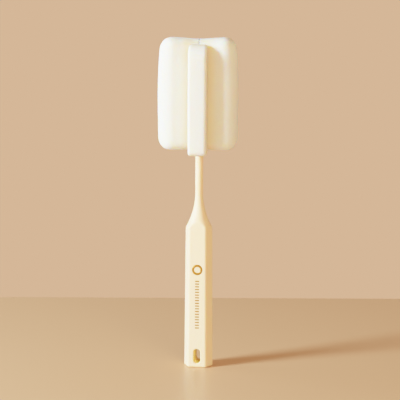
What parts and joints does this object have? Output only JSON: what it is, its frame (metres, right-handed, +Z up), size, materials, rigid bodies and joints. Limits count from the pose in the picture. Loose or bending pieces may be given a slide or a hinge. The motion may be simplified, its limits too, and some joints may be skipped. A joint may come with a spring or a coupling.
{
  "type": "cup brush",
  "caption": "Upright foam cup brush: slim hexagonal moulded handle with a hanging slot, round neck, and a soft lobed foam head for washing inside cups and bottles.",
  "frame": {"origin": "centre of the flat base of the handle, on the handle's axis", "axes": "+Z up the handle's axis towards the foam head; -Y out of the handle's front facet, which carries the hanging slot; +X to the right seen from the front"},
  "size_m": [0.0632, 0.0367, 0.26],
  "materials": {
    "handle_plastic": "satin moulded cream plastic",
    "spine_plastic": "plain moulded white plastic, hidden in the foam",
    "foam": "fine open-cell white sponge"
  },
  "bodies": {
    "root": {"handle": "handle_plastic", "head_spine": "spine_plastic", "left_foam_lobe": "foam", "right_foam_lobe": "foam", "front_foam_fin": "foam"}
  },
  "joints": []
}
